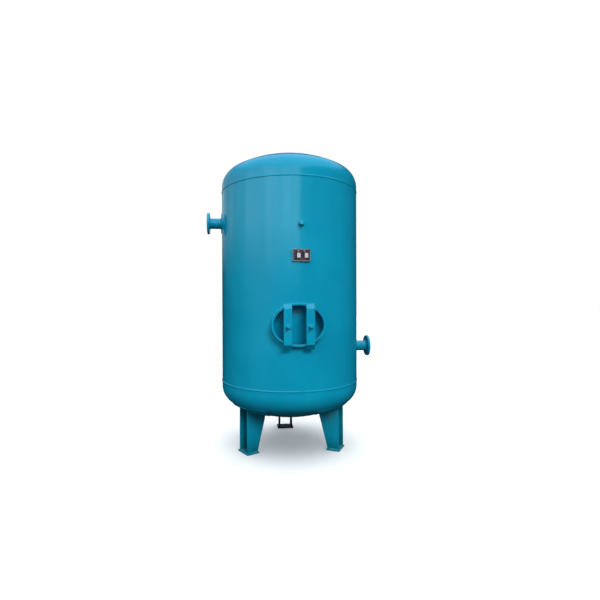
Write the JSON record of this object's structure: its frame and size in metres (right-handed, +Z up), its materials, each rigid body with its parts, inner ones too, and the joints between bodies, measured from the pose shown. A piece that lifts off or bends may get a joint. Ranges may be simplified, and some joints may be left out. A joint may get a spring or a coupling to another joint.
{
  "type": "air receiver tank",
  "caption": "Vertical steel air receiver on plate legs, with dished ends, flanged side nozzles, an oval yoke-clamped manway, plugged ports and a nameplate.",
  "frame": {"origin": "on the floor, at the middle of the overall outline seen from above; the vessel's axis stands 74.65 mm behind it, at Y = +0.07465 m", "axes": "+Z up along the vessel's axis, -Y to the front where the manway faces, +X to the viewer's right, towards the inlet"},
  "size_m": [1.716, 1.5708, 3.0508],
  "materials": {
    "vessel_paint": "gloss teal-blue enamel over steel",
    "black_primer": "semi-matt black primer over steel",
    "gasket_rubber": "matte black",
    "nameplate_face": "black anodised with a bare border",
    "rivet_metal": "bare, satin",
    "seal_copper": "annealed copper"
  },
  "bodies": {
    "vessel": {"shell": "vessel_paint", "top_head": "vessel_paint", "bottom_head": "vessel_paint", "top_girth_weld": "vessel_paint", "bottom_girth_weld": "vessel_paint", "long_weld": "vessel_paint", "outlet_pad": "vessel_paint", "outlet_neck": "vessel_paint", "outlet_flange": "vessel_paint", "inlet_pad": "vessel_paint", "inlet_neck": "vessel_paint", "inlet_flange": "vessel_paint", "manway_ring": "vessel_paint", "gauge_coupling": "vessel_paint", "safety_coupling": "vessel_paint", "drain_coupling": "vessel_paint", "nameplate_bracket": "vessel_paint", "nameplate": "nameplate_face", "rivet_bottom_left": "rivet_metal", "rivet_top_left": "rivet_metal", "rivet_bottom_right": "rivet_metal", "rivet_top_right": "rivet_metal", "leg_left_pad": "vessel_paint", "leg_left_gusset_a": "vessel_paint", "leg_left_gusset_b": "vessel_paint", "leg_left_base": "vessel_paint", "leg_right_pad": "vessel_paint", "leg_right_gusset_a": "vessel_paint", "leg_right_gusset_b": "vessel_paint", "leg_right_base": "vessel_paint", "leg_rear_pad": "vessel_paint", "leg_rear_gusset_a": "black_primer", "leg_rear_gusset_b": "black_primer", "leg_rear_base": "black_primer", "lifting_lug_left": "vessel_paint", "lifting_lug_right": "vessel_paint"},
    "cover": {"cover_plate": "vessel_paint", "cover_gasket": "gasket_rubber", "stud_left": "vessel_paint", "stud_right": "vessel_paint"},
    "yoke_left": {"yoke_left": "vessel_paint", "washer_left": "vessel_paint"},
    "yoke_right": {"yoke_right": "vessel_paint", "washer_right": "vessel_paint"},
    "nut_left": {"nut_left": "vessel_paint"},
    "nut_right": {"nut_right": "vessel_paint"},
    "gauge_seal": {"gauge_seal": "seal_copper"},
    "gauge_plug": {"gauge_plug": "vessel_paint"},
    "safety_seal": {"safety_seal": "seal_copper"},
    "safety_plug": {"safety_plug": "vessel_paint"},
    "drain_seal": {"drain_seal": "seal_copper"},
    "drain_plug": {"drain_plug": "vessel_paint"}
  },
  "joints": [
    {"name": "cover_slide", "type": "slide", "parent": "vessel", "child": "cover", "axis": [0, 1, 0], "range_m": [0, 0.03]},
    {"name": "yoke_left_slide", "type": "slide", "parent": "vessel", "child": "yoke_left", "axis": [0, -1, 0], "range_m": [0, 0.021]},
    {"name": "nut_left_spin", "type": "hinge", "parent": "yoke_left", "child": "nut_left", "pos_m": [-0.1, -0.745, 1.27], "axis": [0, -1, 0], "range_deg": [0, 6120]},
    {"name": "yoke_right_slide", "type": "slide", "parent": "vessel", "child": "yoke_right", "axis": [0, -1, 0], "range_m": [0, 0.021]},
    {"name": "nut_right_spin", "type": "hinge", "parent": "yoke_right", "child": "nut_right", "pos_m": [0.1, -0.745, 1.27], "axis": [0, -1, 0], "range_deg": [0, 6120]},
    {"name": "gauge_seal_slide", "type": "slide", "parent": "vessel", "child": "gauge_seal", "axis": [0, -1, 0], "range_m": [0, 0.01616]},
    {"name": "gauge_plug_spin", "type": "hinge", "parent": "gauge_seal", "child": "gauge_plug", "pos_m": [0.03, -0.66, 2.189], "axis": [0, -1, 0], "range_deg": [0, 2520]},
    {"name": "safety_seal_slide", "type": "slide", "parent": "vessel", "child": "safety_seal", "axis": [0, 0, 1], "range_m": [0, 0.01847]},
    {"name": "safety_plug_spin", "type": "hinge", "parent": "safety_seal", "child": "safety_plug", "pos_m": [0, 0.07465, 3.03], "axis": [0, 0, 1], "range_deg": [0, 2880]},
    {"name": "drain_seal_slide", "type": "slide", "parent": "vessel", "child": "drain_seal", "axis": [0, 0, -1], "range_m": [0, 0.01616]},
    {"name": "drain_plug_spin", "type": "hinge", "parent": "drain_seal", "child": "drain_plug", "pos_m": [0, 0.07465, 0.28], "axis": [0, 0, -1], "range_deg": [0, 2520]}
  ],
  "couplings": [
    {"joint": "yoke_left_slide", "follows": "cover_slide", "ratio": 0.7},
    {"joint": "nut_left_spin", "follows": "cover_slide", "rad_per_m": 3560.4},
    {"joint": "yoke_right_slide", "follows": "cover_slide", "ratio": 0.7},
    {"joint": "nut_right_spin", "follows": "cover_slide", "rad_per_m": 3560.4},
    {"joint": "gauge_plug_spin", "follows": "gauge_seal_slide", "rad_per_m": 2721.2},
    {"joint": "safety_plug_spin", "follows": "safety_seal_slide", "rad_per_m": 2721.2},
    {"joint": "drain_plug_spin", "follows": "drain_seal_slide", "rad_per_m": 2721.2}
  ]
}
